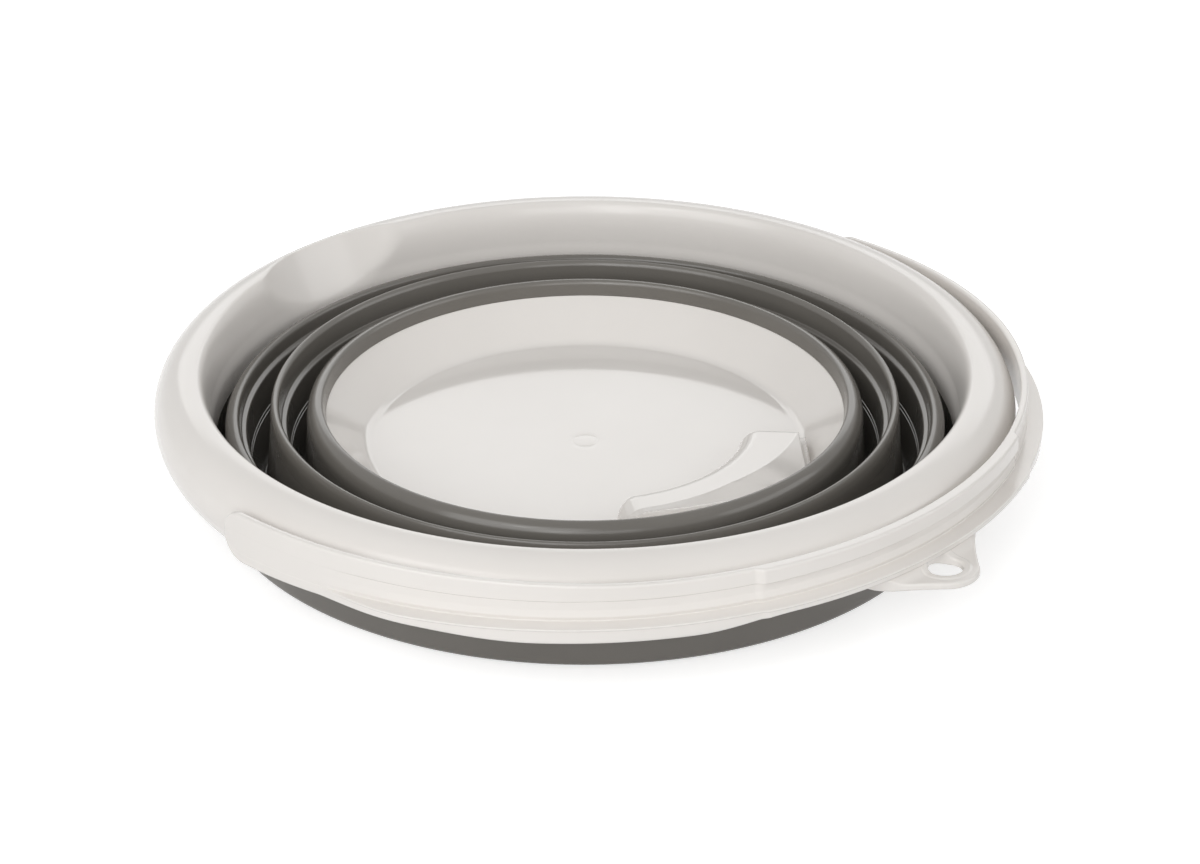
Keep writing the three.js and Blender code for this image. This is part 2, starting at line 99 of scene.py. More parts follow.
def finished(name, mesh):
    """The mesh welded, shaded smooth except at sharp edges, and put in the scene."""
    work = bmesh.new()
    work.from_mesh(mesh)
    bmesh.ops.remove_doubles(work, verts=work.verts, dist=WELD)
    bmesh.ops.dissolve_degenerate(work, edges=work.edges, dist=WELD)
    work.to_mesh(mesh)
    work.free()
    mesh.polygons.foreach_set("use_smooth", [True] * len(mesh.polygons))
    mesh.set_sharp_from_angle(angle=math.radians(SHARP_ANGLE))
    mesh.update()
    made = bpy.data.objects.new(name, mesh)
    bpy.context.scene.collection.objects.link(made)
    return made


def skin(name, grid, around=True, caps=False):
    """A mesh over rows of closed outlines, points in mm; around joins the last row to the first."""
    rows, columns = grid.shape[:2]
    index = np.arange(rows * columns).reshape(rows, columns)
    ahead = np.roll(index, -1, axis=0)
    faces = []
    for j in range(rows if around else rows - 1):
        for i in range(columns):
            k = (i + 1) % columns
            faces.append((index[j, i], ahead[j, i], ahead[j, k], index[j, k]))
    if caps:
        faces.append(tuple(index[0]))
        faces.append(tuple(index[-1][::-1]))
    mesh = bpy.data.meshes.new(name)
    mesh.from_pydata((grid.reshape(-1, 3) * MM).tolist(), [], [tuple(map(int, f)) for f in faces])
    return finished(name, mesh)


def carried_round(outline, angles):
    """Rows of the outline, radius and height in mm, at angles in radians round the axis."""
    radius, height = outline[:, 0], outline[:, 1]
    return np.stack([
        np.outer(np.cos(angles), radius),
        np.outer(np.sin(angles), radius),
        np.broadcast_to(height, (len(angles), len(height))),
    ], axis=2)


RING_STEPS = 240


def turned(name, outline, angles=None):
    """The outline turned to a whole ring, or to the stretch over some angles in degrees."""
    whole = angles is None
    if whole:
        angles = np.linspace(0, 360, RING_STEPS, endpoint=False)
    return skin(name, carried_round(outline, np.radians(angles)), around=whole, caps=not whole)


def moulded_skin_group():
    """The faint clouding, gloss changes and fine grain that a steel mould leaves on plastic."""
    group = bpy.data.node_groups.new("moulded_skin", "ShaderNodeTree")
    for label, way, kind in (
        ("Pale", "INPUT", "NodeSocketColor"),
        ("Deep", "INPUT", "NodeSocketColor"),
        ("Cloud Scale", "INPUT", "NodeSocketFloat"),
        ("Grain Scale", "INPUT", "NodeSocketFloat"),
        ("Gloss From", "INPUT", "NodeSocketFloat"),
        ("Gloss To", "INPUT", "NodeSocketFloat"),
        ("Color", "OUTPUT", "NodeSocketColor"),
        ("Roughness", "OUTPUT", "NodeSocketFloat"),
        ("Height", "OUTPUT", "NodeSocketFloat"),
    ):
        group.interface.new_socket(label, in_out=way, socket_type=kind)
    nodes, links = group.nodes, group.links
    given = nodes.new("NodeGroupInput")
    result = nodes.new("NodeGroupOutput")
    place = nodes.new("ShaderNodeTexCoord")
    clouds = nodes.new("ShaderNodeTexNoise")
    clouds.inputs["Detail"].default_value = 3.0
    clouds.inputs["Roughness"].default_value = 0.55
    grain = nodes.new("ShaderNodeTexNoise")
    grain.inputs["Detail"].default_value = 2.0
    tone = nodes.new("ShaderNodeMapRange")
    tone.inputs["From Min"].default_value = 0.3
    tone.inputs["From Max"].default_value = 0.7
    mix = nodes.new("ShaderNodeMix")
    mix.data_type = "RGBA"
    blend = nodes.new("ShaderNodeMath")
    blend.operation = "MULTIPLY_ADD"
    blend.inputs[1].default_value = 0.35
    gloss = nodes.new("ShaderNodeMapRange")
    gloss.inputs["From Min"].default_value = 0.4
    gloss.inputs["From Max"].default_value = 1.0
    for noise, scale in ((clouds, "Cloud Scale"), (grain, "Grain Scale")):
        links.new(place.outputs["Object"], noise.inputs["Vector"])
        links.new(given.outputs[scale], noise.inputs["Scale"])
    links.new(clouds.outputs["Fac"], tone.inputs["Value"])
    links.new(tone.outputs["Result"], mix.inputs["Factor"])
    links.new(given.outputs["Pale"], mix.inputs["A"])
    links.new(given.outputs["Deep"], mix.inputs["B"])
    links.new(grain.outputs["Fac"], blend.inputs[0])
    links.new(clouds.outputs["Fac"], blend.inputs[2])
    links.new(blend.outputs["Value"], gloss.inputs["Value"])
    links.new(given.outputs["Gloss From"], gloss.inputs["To Min"])
    links.new(given.outputs["Gloss To"], gloss.inputs["To Max"])
    links.new(mix.outputs["Result"], result.inputs["Color"])
    links.new(gloss.outputs["Result"], result.inputs["Roughness"])
    links.new(grain.outputs["Fac"], result.inputs["Height"])
    return group


moulded_skin = moulded_skin_group()
GRAIN_STRENGTH = 0.35
PLASTIC_IOR = 1.49


def moulded_plastic(name, pale, deep, cloud, grain, gloss, grain_depth):
    """A plastic with the mould's skin on it; colours are linear, depth is in metres."""
    material = bpy.data.materials.new(name)
    material.use_nodes = True
    nodes, links = material.node_tree.nodes, material.node_tree.links
    shader = nodes["Principled BSDF"]
    surface = nodes.new("ShaderNodeGroup")
    surface.node_tree = moulded_skin
    surface.inputs["Pale"].default_value = (*pale, 1)
    surface.inputs["Deep"].default_value = (*deep, 1)
    surface.inputs["Cloud Scale"].default_value = cloud
    surface.inputs["Grain Scale"].default_value = grain
    surface.inputs["Gloss From"].default_value = gloss[0]
    surface.inputs["Gloss To"].default_value = gloss[1]
    bump = nodes.new("ShaderNodeBump")
    bump.inputs["Strength"].default_value = GRAIN_STRENGTH
    bump.inputs["Distance"].default_value = grain_depth
    links.new(surface.outputs["Color"], shader.inputs["Base Color"])
    links.new(surface.outputs["Roughness"], shader.inputs["Roughness"])
    links.new(surface.outputs["Height"], bump.inputs["Height"])
    links.new(bump.outputs["Normal"], shader.inputs["Normal"])
    shader.inputs["IOR"].default_value = PLASTIC_IOR
    return material


WHITE = {
    "pale": (0.83, 0.80, 0.768),
    "deep": (0.80, 0.77, 0.738),
    "cloud": 14.0,
    "grain": 1100.0,
}
satin_white = moulded_plastic(
    "satin_white_polypropylene", **WHITE, gloss=(0.15, 0.22), grain_depth=0.000004,
)

foot_ring = turned(
    "foot_ring",
    rounded_section([
        (FOOT_RADIUS - FOOT_WALL, 0, FOOT_EDGE),
        (FOOT_RADIUS, 0, FOOT_EDGE),
        (FOOT_RADIUS, FOOT_TOP, CRISP),
        (FOOT_RADIUS - FOOT_WALL, FOOT_TOP, CRISP),
    ]),
    np.linspace(RECESS_FRONT + FOOT_GAP_HALF, RECESS_FRONT + 360 - FOOT_GAP_HALF, FOOT_STEPS),
)
hub = turned(
    "foot_hub",
    rounded_section([
        (0, 0, NO_FILLET),
        (HUB_RADIUS, 0, FOOT_EDGE),
        (HUB_RADIUS, FOOT_TOP, CRISP),
        (0, FOOT_TOP, NO_FILLET),
    ]),
)
rib_section = rounded_section([
    (-RIB_HALF, RIB_BOTTOM, RIB_EDGE),
    (RIB_HALF, RIB_BOTTOM, RIB_EDGE),
    (RIB_HALF, FOOT_TOP, CRISP),
    (-RIB_HALF, FOOT_TOP, CRISP),
], steps=4)
ribs = []
for index in range(RIB_COUNT):
    angle = (index + 0.5) * 360 / RIB_COUNT
    in_recess = abs(angle - 360 - RECESS_FRONT) < 1
    stop = RIB_STOP if in_recess else FOOT_RADIUS - FOOT_WALL / 2
    ends = np.array((HUB_RADIUS - RIB_LAP, stop))
    cosine, sine = math.cos(math.radians(angle)), math.sin(math.radians(angle))
    grid = (
        ends[:, None, None] * np.array((cosine, sine, 0))
        + rib_section[None, :, :1] * np.array((sine, -cosine, 0))
        + rib_section[None, :, 1:] * np.array((0, 0, 1))
    )
    ribs.append(skin(f"foot_rib_{index + 1}", grid, around=False, caps=True))
for part in [foot_ring, hub, *ribs]:
    part.data.materials.append(satin_white)
    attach(part, "base")
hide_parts("base_foot")

# Dish: the flat floor and sloping wall of the bucket's base, in the same white, polished.
# A part of the floor is raised over a hollow for the fingers, level inside and sloped to the edge.
# Both ends of that part are cut off on a slant, and a fine ring marks where the mould was filled.
FLOOR = 17.5
DISH_WALL = 2.2
DISH_EDGE_RADIUS = 94.3
DISH_EDGE_HEIGHT = 31.0
DISH_EDGE_WIDTH = 3.2
DISH_EDGE_LAP = 0.1
DISH_SLOPE = 13.5 / 14.8
FLOOR_FILLET = 1.6
RISE = 9.3
RISER_FOOT = 56.5
RISER_RUN = 8.0
END_RUN = 6.4
RISE_CORNER = 6.6
RISE_FROM = -35.8
RISE_TO = 39.4
RISE_FILLET = 0.3
FAR_CUT = 110.2
CUT_RUN = 0.7
CREASE = 72.0
CREASE_TURN = 0.165
CREASE_ROUND = 0.6
OUTER_SLOPE = 0.36
HOLLOW_INSET = 1.2
GATE_RADIUS = 4.6
GATE_WIDTH = 0.35
GATE_DEPTH = 0.12
GATE_NEAR = 0.6
END_SPAN = 26.0
END_STEPS = 125
FINE_STEP = 0.8
PLAIN_STEP = 1.5
SLOPE_FROM = 66.03
SLOPE_STEP = 0.33


def smooth_step(value):
    """A share that climbs from 0 to 1 and is level at both ends."""
    value = np.clip(value, 0, 1)
    return value * value * (3 - 2 * value)


def smooth_max(a, b, width):
    """The larger of two heights, with a fillet of about that width where they meet."""
    share = np.clip(0.5 + 0.5 * (a - b) / width, 0, 1)
    return b + (a - b) * share + width * share * (1 - share)


def rounded_side(distance, run):
    """Share of the full height at a distance inside a side that swells up to a level top."""
    near = 1 - np.clip(distance / run, 0, 1)
    return np.sqrt(1 - near * near)


def raised_share(radius, off):
    """Share of the full rise over the finger hollow, from the distance inside its outline."""
    across = radius * np.abs(np.sin(np.radians(off)))
    out = radius * np.cos(np.radians(off))
    inward = (radius - RISER_FOOT) * END_RUN / RISER_RUN
    first = np.radians(off - RISE_FROM) * RISER_FOOT
    last = np.radians(RISE_TO - off) * radius
    cut = (FAR_CUT - across - out) / math.sqrt(2) * END_RUN / CUT_RUN
    along = np.minimum(np.minimum(first, last), cut)
    gap = np.hypot(np.maximum(RISE_CORNER - inward, 0), np.maximum(RISE_CORNER - along, 0))
    return rounded_side(RISE_CORNER - gap, END_RUN)


def dish_height(radius, angle, lower):
    """Height of the dish's upper face, or of its lower one, at a radius and an angle in degrees."""
    off = (angle - RECESS_FRONT + 180) % 360 - 180
    drop = DISH_WALL if lower else 0.0
    edge = DISH_EDGE_RADIUS + (DISH_EDGE_WIDTH if lower else 0.0)
    wall = DISH_EDGE_HEIGHT + (radius - edge) * DISH_SLOPE
    base = smooth_max(np.full_like(radius, FLOOR - drop), wall, FLOOR_FILLET)
    crease = CREASE + CREASE_TURN * np.clip(off, 0, RISE_TO) + drop
    past = smooth_max(radius - crease, np.zeros_like(radius), CREASE_ROUND)
    full = FLOOR - drop + RISE + OUTER_SLOPE * past
    share = raised_share(radius - HOLLOW_INSET * drop, off)
    return base + smooth_max(full - base, np.zeros_like(base), RISE_FILLET) * share


def dish_angles():
    """Angles all round, set closer over the raised part and closest at its ends."""
    first = np.linspace(RISE_FROM, RISE_FROM + END_SPAN, END_STEPS)
    last = np.linspace(RISE_TO - END_SPAN, RISE_TO, END_STEPS)
    middle = np.arange(first[-1] + FINE_STEP, last[0] - FINE_STEP / 2, FINE_STEP)
    rest = np.arange(RISE_TO + PLAIN_STEP, RISE_FROM + 360 - PLAIN_STEP / 3, PLAIN_STEP)
    return RECESS_FRONT + np.concatenate([first, middle, last, rest])


upper_radii = np.concatenate([
    np.zeros(1),
    GATE_RADIUS + np.linspace(-GATE_NEAR, GATE_NEAR, 5),
    np.arange(8, RISER_FOOT - 1, 4.0),
    RISER_FOOT + RISER_RUN * np.linspace(0, 1.1, 36) ** 1.5,
    np.arange(SLOPE_FROM, DISH_EDGE_RADIUS - 0.2, SLOPE_STEP),
    np.array((DISH_EDGE_RADIUS - 0.15, DISH_EDGE_RADIUS)),
])
lower_radii = np.concatenate([
    np.array((DISH_EDGE_RADIUS + DISH_EDGE_WIDTH - DISH_EDGE_LAP,)),
    np.arange(96, CREASE, -0.8),
    np.arange(CREASE, RISER_FOOT - 0.5, -0.6),
    np.arange(54, 0, -6.0),
    np.zeros(1),
])
upper_r, upper_a = np.meshgrid(upper_radii, dish_angles())
lower_r, lower_a = np.meshgrid(lower_radii, dish_angles())
gate = np.exp(-((upper_r - GATE_RADIUS) / GATE_WIDTH) ** 2)
upper_z = dish_height(upper_r, upper_a, lower=False) - GATE_DEPTH * gate
lower_z = dish_height(lower_r, lower_a, lower=True)
lower_z = np.minimum(lower_z, DISH_EDGE_HEIGHT - DISH_EDGE_LAP)
dish_r = np.concatenate([upper_r, lower_r], axis=1)
dish_a = np.radians(np.concatenate([upper_a, lower_a], axis=1))
dish_z = np.concatenate([upper_z, lower_z], axis=1)
dish_grid = np.stack([dish_r * np.cos(dish_a), dish_r * np.sin(dish_a), dish_z], axis=2)
dish = skin("base_dish_shell", dish_grid[:, ::-1])
polished_white = moulded_plastic(
    "polished_white_polypropylene", **WHITE, gloss=(0.06, 0.1), grain_depth=0.000003,
)
dish.data.materials.append(polished_white)
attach(dish, "base")
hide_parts("base_dish")

# Collar: the innermost ridge of the soft wall, moulded over the dish's edge.
# Satin grey thermoplastic elastomer, like all the wall that folds out of it.
COLLAR_RADIUS = 101.4
COLLAR_CREST_RADIUS = 96.6
COLLAR_CREST_HEIGHT = 36.8
COLLAR_CREST_RUN = 1.5
COLLAR_CREST_FALL = 2.4
COLLAR_SHOULDER = 30.0
COLLAR_SKIRT = 27.45
COLLAR_EDGE = 0.4
CREST_END = 165
WALL = 2.0
SEAM_EDGE = 0.05

grey_elastomer = moulded_plastic(
    "grey_elastomer",
    pale=(0.168, 0.157, 0.141),
    deep=(0.153, 0.143, 0.128),
    cloud=22.0,
    grain=2400.0,
    gloss=(0.16, 0.23),
    grain_depth=0.00001,
)


def wall_piece(piece, node):
    """Gives a piece of the soft wall its finish and hides the node that it stands for."""
    piece.data.materials.append(grey_elastomer)
    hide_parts(node)


def crest_points(face, shoulder, crest, top, run, fall):
    """A ridge's rounded top: a swelling outer side, then a tighter turn to its inner side."""
    outer = np.radians(np.linspace(0, 90, 16))
    inner = np.radians(np.linspace(90, CREST_END, 10))[1:]
    return np.concatenate([
        np.stack([crest + (face - crest) * np.cos(outer),
                  shoulder + (top - shoulder) * np.sin(outer)], 1),
        np.stack([crest + run * np.cos(inner), top - fall + fall * np.sin(inner)], 1),
    ])


def outlined(pieces, steps=3):
    """A closed outline from filleted corners and ready runs of points, in turn."""
    corners = []
    for piece in pieces:
        ready = not isinstance(piece, tuple)
        corners.extend([(*piece[0], NO_FILLET), (*piece[-1], NO_FILLET)] if ready else [piece])
    blocks = rounded_section(corners, steps).reshape(len(corners), -1, 2)
    points, at = [], 0
    for piece in pieces:
        ready = not isinstance(piece, tuple)
        points.append(piece if ready else blocks[at])
        at += 2 if ready else 1
    return np.concatenate(points)


collar = turned("soft_collar", outlined([
    (COLLAR_RADIUS, COLLAR_SKIRT, SEAM_EDGE),
    crest_points(
        COLLAR_RADIUS, COLLAR_SHOULDER, COLLAR_CREST_RADIUS, COLLAR_CREST_HEIGHT,
        COLLAR_CREST_RUN, COLLAR_CREST_FALL,
    ),
    (DISH_EDGE_RADIUS - DISH_EDGE_LAP, DISH_EDGE_HEIGHT, COLLAR_EDGE),
    (COLLAR_RADIUS - WALL, DISH_EDGE_HEIGHT, SEAM_EDGE),
    (COLLAR_RADIUS - WALL, COLLAR_SKIRT, SEAM_EDGE),
]))
wall_piece(collar, "base_collar")
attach(collar, "base")

# Inner band: the stretch of soft wall between the collar and the innermost fold.
# It is part of the one elastomer moulding and turns over when the bucket is pulled open.
FOLD_ROUND = 2.6
FOLD_BOTTOM = 1.1
FOLD_STEPS = 9
INNER_FOLD = 103.6


def fold_half(fold_radius, outer_half):
    """Half of a fold's section, from inside the fold round its lowest line to its outside."""
    height = FOLD_BOTTOM + FOLD_ROUND
    side = 1 if outer_half else -1
    turns = np.radians(np.linspace(0, 90, FOLD_STEPS))
    points = []
    for radius, run in ((FOLD_ROUND - WALL, turns), (FOLD_ROUND, turns[::-1])):
        points.extend(
            (fold_radius + side * radius * math.cos(turn), height - radius * math.sin(turn))
            for turn in run
        )
    return np.array(points[::side])


def refined(outline, step=1.5):
    """The closed outline with its long straight stretches cut into short ones."""
    points = []
    for here, ahead in zip(outline, np.roll(outline, -1, axis=0)):
        pieces = max(1, int(math.ceil(np.linalg.norm(ahead - here) / step)))
        points.extend(here + (ahead - here) * k / pieces for k in range(pieces))
    return np.array(points)


def turn_over_band(name, node, fold_radius, outer_face, top):
    """A band turned all round from a fold up to a ridge; it is attached to no body."""
    outline = np.array([
        (outer_face - WALL, top),
        *fold_half(fold_radius, outer_half=False),
        (outer_face, top),
    ])
    band = turned(name, refined(outline))
    wall_piece(band, node)
    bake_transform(band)


turn_over_band(
    "soft_band_inner", "flip_band_inner", INNER_FOLD, COLLAR_RADIUS, COLLAR_SKIRT,
)

# Inner ridge: a stiff hoop in the soft wall, with a ledge and a fine step on its inner face.
# It is moulded in one with the elastomer wall, which hangs from it to the innermost fold.
RIDGE_DEPTH = 9.05
RIDGE_SHOULDER = 5.0
CREST_FALL = 2.6
CREST_SHARE = 0.75
LEDGE = 1.9
LEDGE_FALL = 0.5
STEP = 0.32
STEP_GAP = 1.3
STEP_INSET = 3.5
INNER_RIDGE = 114.6
INNER_RIDGE_WIDTH = 4.1
INNER_RIDGE_TOP = 37.4
INNER_CREST = 113.0
INNER_LEDGE = 29.1
INNER_STEP = 18.4


def ridge(name, node, body, face, width, top, crest, ledge_height, step_height, fold_radius):
    """A ridge hoop and the wall that hangs from its inner side to the next fold inwards."""
    inner = face - width
    ledge = inner - LEDGE
    step = inner - STEP_INSET
    skirt = top - RIDGE_DEPTH
    crest_run = CREST_SHARE * (crest - inner)
    hoop = turned(name, outlined([
        (face, skirt, SEAM_EDGE),
        crest_points(face, top - RIDGE_SHOULDER, crest, top, crest_run, CREST_FALL),
        (inner, ledge_height, 0.5),
        (ledge, ledge_height - LEDGE_FALL, 0.8),
        (step + 2 * STEP, step_height, CRISP),
        (step + STEP, step_height - STEP / 2, CRISP),
        (step + STEP, step_height - STEP_GAP, CRISP),
        (step, step_height - STEP_GAP - STEP / 2, CRISP),
        fold_half(fold_radius, outer_half=True),
        (ledge + WALL, skirt, 0.3),
    ]))
    wall_piece(hoop, node)
    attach(hoop, body)


ridge(
    "soft_ridge_inner", "ridge_ring_inner", "ring_inner",
    face=INNER_RIDGE, width=INNER_RIDGE_WIDTH, top=INNER_RIDGE_TOP, crest=INNER_CREST,
    ledge_height=INNER_LEDGE, step_height=INNER_STEP, fold_radius=INNER_FOLD,
)

# Middle band: the next stretch that turns over, from the middle fold up to the inner ridge.
# Same elastomer and thickness as the inner band.
MIDDLE_FOLD = 117.6
turn_over_band(
    "soft_band_middle", "flip_band_middle", MIDDLE_FOLD, INNER_RIDGE,
    INNER_RIDGE_TOP - RIDGE_DEPTH,
)

# Outer ridge: the broader hoop next to the rim, lower than the inner one, of the same elastomer.
# The wall is moulded in one with it and hangs from it to the middle fold.
OUTER_RIDGE = 131.1
OUTER_RIDGE_WIDTH = 6.0
OUTER_RIDGE_TOP = 32.7
OUTER_CREST = 127.3
OUTER_LEDGE = 27.7
OUTER_STEP = 15.7
ridge(
    "soft_ridge_outer", "ridge_ring_outer", "ring_outer",
    face=OUTER_RIDGE, width=OUTER_RIDGE_WIDTH, top=OUTER_RIDGE_TOP, crest=OUTER_CREST,
    ledge_height=OUTER_LEDGE, step_height=OUTER_STEP, fold_radius=MIDDLE_FOLD,
)

# Outer band: the last stretch that turns over, from the outer fold up to the outer ridge.
# Same elastomer and thickness as the other bands.
OUTER_FOLD = 133.1
turn_over_band(
    "soft_band_outer", "flip_band_outer", OUTER_FOLD, OUTER_RIDGE,
    OUTER_RIDGE_TOP - RIDGE_DEPTH,
)

# Upper wall: the outermost stretch of the elastomer wall, moulded to the rim's lower edge.
# It hangs from the rim to the outer fold and is the grey band seen below the handle.
RIM_INNER = 134.8
RIM_WALL = 2.4
RIM_WALL_BOTTOM = 22.3
RIM_SEAM = 0.05
upper_wall = turned("soft_upper_wall", refined(np.array([
    (RIM_INNER, RIM_WALL_BOTTOM - RIM_SEAM),
    *fold_half(OUTER_FOLD, outer_half=True),
    (RIM_INNER + RIM_WALL, RIM_WALL_BOTTOM - RIM_SEAM),
]), step=3.0))
wall_piece(upper_wall, "upper_wall")
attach(upper_wall, "rim")

# Rim: a hard white channel with a broad rounded top, open below, that stiffens the mouth.
# A pouring lip is scooped into its inner half, and a stub on each side carries the handle.
RIM_OUTER = 156.4
RIM_TOP = 50.0
RIM_ROLL = 14.8
RIM_DRAFT = 1.4
DRAFT_SHARE = 0.92
DRAFT_TOP = 33.0
RIM_INNER_EDGE = 4.6
RIM_INNER_FALL = 16.0
RIM_LIP_ANGLE = 40
SCOOP_RADIUS = 60.0
SCOOP_HALF = 58.8
SCOOP_FADE = 8.0
SCOOP_FOOT = 27.0
SCOOP_MOUTH = 147.5
SCOOP_EDGE = 1.6
SPOUT_ANGLE = 90.0
SPOUT_HALF = 26.0
STUB_RADIUS = 4.0
STUB_REACH = 3.0
STUB_ROOT = 2.5
STUB_STEPS = 40
PIVOT_HEIGHT = 34.6


def section_arc(centre, radius, start, end, step):
    """Points of an arc in a section, its angles counted from outwards towards up."""
    count = max(2, int(math.ceil(abs(math.radians(end - start)) * radius / step)))
    turns = np.radians(np.linspace(start, end, count + 1))
    return np.stack([centre[0] + radius * np.cos(turns), centre[1] + radius * np.sin(turns)], 1)


roll_centre = (RIM_OUTER - RIM_ROLL, RIM_TOP - RIM_ROLL)
edge_centre = (RIM_INNER + RIM_DRAFT + RIM_INNER_EDGE, RIM_TOP - RIM_INNER_FALL)
lip_turn = math.radians(-RIM_LIP_ANGLE)
lip_middle = RIM_ROLL - RIM_WALL / 2
lip_centre = (
    roll_centre[0] + lip_middle * math.cos(lip_turn),
    roll_centre[1] + lip_middle * math.sin(lip_turn),
)
wall_foot = np.array((RIM_INNER, RIM_WALL_BOTTOM))
wall_head = np.array((RIM_INNER + DRAFT_SHARE * RIM_DRAFT, DRAFT_TOP))


def inner_edge(radial, fall, start, end, count):
    """The quarter of an ellipse by which the rim's inner wall turns into its top."""
    turns = np.radians(np.linspace(start, end, count))
    return np.stack([
        edge_centre[0] + radial * np.cos(turns), edge_centre[1] + fall * np.sin(turns),
    ], 1)


rim_outside = np.concatenate([
    section_arc(lip_centre, RIM_WALL / 2, -RIM_LIP_ANGLE - 90, -RIM_LIP_ANGLE, step=0.7),
    section_arc(roll_centre, RIM_ROLL, -RIM_LIP_ANGLE, 90, step=1.3)[1:],
    inner_edge(RIM_INNER_EDGE, RIM_INNER_FALL, 90, 180, count=26),
    np.linspace(wall_head, wall_foot, 10),
])
rim_inside = np.concatenate([
    np.linspace(wall_foot, wall_head, 8) + np.array((RIM_WALL, 0)),
    inner_edge(RIM_INNER_EDGE - RIM_WALL, RIM_INNER_FALL - RIM_WALL, 180, 90, count=14),
    section_arc(roll_centre, RIM_ROLL - RIM_WALL, 90, -RIM_LIP_ANGLE, step=2.5),
])


def scooped(points, margin):
    """The points pushed out of the scoop's trough, in a frame with the spout along +Y."""
    lean = np.array((SCOOP_MOUTH - RIM_INNER, RIM_TOP - SCOOP_FOOT))
    lean = lean / np.linalg.norm(lean)
    inwards = np.array((-lean[1], lean[0]))
    away = (points[..., 1] - SCOOP_MOUTH) * inwards[0] + (points[..., 2] - RIM_TOP) * inwards[1]
    side = np.abs(points[..., 0])
    sunk = np.sqrt(SCOOP_RADIUS ** 2 - np.minimum(side, SCOOP_HALF) ** 2)
    trough = SCOOP_RADIUS - sunk - margin
    push = smooth_max(away - trough, np.zeros_like(away), SCOOP_EDGE)
    push = push * smooth_step((SCOOP_HALF - side) / SCOOP_FADE)
    push = push * (points[..., 1] > 0)
    moved = points.copy()
    moved[..., 1] -= push * inwards[0]
    moved[..., 2] -= push * inwards[1]
    return moved


rim_angles = np.radians(np.concatenate([
    np.arange(SPOUT_ANGLE - SPOUT_HALF, SPOUT_ANGLE + SPOUT_HALF, 0.5),
    np.arange(SPOUT_ANGLE + SPOUT_HALF, SPOUT_ANGLE - SPOUT_HALF + 360, 1.5),
]))
rim = skin("rim_channel", np.concatenate([
    scooped(carried_round(rim_outside, rim_angles), 0.0),
    scooped(carried_round(rim_inside, rim_angles), RIM_WALL),
], axis=1))
rim.data.materials.append(satin_white)
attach(rim, "rim")
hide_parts("rim_ring")

stub_outline = rounded_section([
    (0, -STUB_ROOT, NO_FILLET),
    (STUB_RADIUS, -STUB_ROOT, 0.3),
    (STUB_RADIUS, STUB_REACH, 0.6),
    (0, STUB_REACH, NO_FILLET),
])
stub_turns = np.linspace(0, 2 * math.pi, STUB_STEPS, endpoint=False)
for side, label in ((1, "right"), (-1, "left")):
    grid = np.stack([
        np.broadcast_to(side * (RIM_OUTER + stub_outline[:, 1]), (STUB_STEPS, len(stub_outline))),
        side * np.outer(np.cos(stub_turns), stub_outline[:, 0]),
        PIVOT_HEIGHT + np.outer(np.sin(stub_turns), stub_outline[:, 0]),
    ], axis=2)
    stub = skin(f"pivot_stub_{label}", grid)
    stub.data.materials.append(satin_white)
    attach(stub, "rim")

# Handle: a hard white bail, an arched strip with a bead along its top and a flange along its foot.
# It clips over the rim's stubs with plain rounded ends and is thicker at the grip.
# In the photograph its left end stands a little higher than the right one.
HANDLE_TILT = 2.0
STRIP_INNER = 158.1
STRIP_OUTER = 160.3
STRIP_HALF = 8.6
STRIP_SAG = 0.7
SAG_END = 60.0
SAG_FADE = 25.0
BEAD = 0.4
BEAD_EDGE = 2.0
BEAD_STEP = 0.35
WEB_FOOT = 0.3
WEB_ROLL = 0.5
WEB_ROLL_RISE = 1.7
WEB_ROLL_END = 4.2
FLANGE = 6.0
FLANGE_TOP = -5.2
FLANGE_LESS = 0.6
FLANGE_DROP = 3.2
DROP_START = 21.0
DROP_RUN = 12.0
DROP_END = 70.0
DROP_FADE = 18.0
FLANGE_LIP = 0.35
LIP_FALL = 0.6
LIP_ROOT = 0.9
FLANGE_START = 83.0
FLANGE_TAPER = 16.0
PLAIN_END = 80.0
PLAIN_TAPER = 8.0
LEAST_STEP = 0.02
HANDLE_END = 93.1
END_ROUND = 10.2
END_THINNING = 0.55
END_LIFT = 3.2
LIFT_START = 35.0
LIFT_RUN = 60.0
LIFT_SHARE = 0.7
GRIP_HALF = 24.8
GRIP_STEP = 1.3
GRIP_NEAR = 0.9
GRIP_BEAD = 2.3
GRIP_WEB = 0.7
GRIP_FLANGE = 0.9


def handle_offsets():
    """Angles along the bail from its middle, closer at the grip's steps and at the ends."""
    tip = HANDLE_END + math.degrees(END_ROUND / STRIP_OUTER)
    half = np.concatenate([
        np.arange(0, GRIP_HALF - 1, 1.2),
        np.linspace(GRIP_HALF - GRIP_NEAR, GRIP_HALF + GRIP_NEAR, 13),
        np.arange(GRIP_HALF + 1.5, FLANGE_START - FLANGE_TAPER, 1.4),
        np.arange(FLANGE_START - FLANGE_TAPER, HANDLE_END, 0.9),
        HANDLE_END + (tip - HANDLE_END) * np.sin(np.radians(np.linspace(0, 86, 14))),
    ])
    return np.concatenate([-half[:0:-1], half])


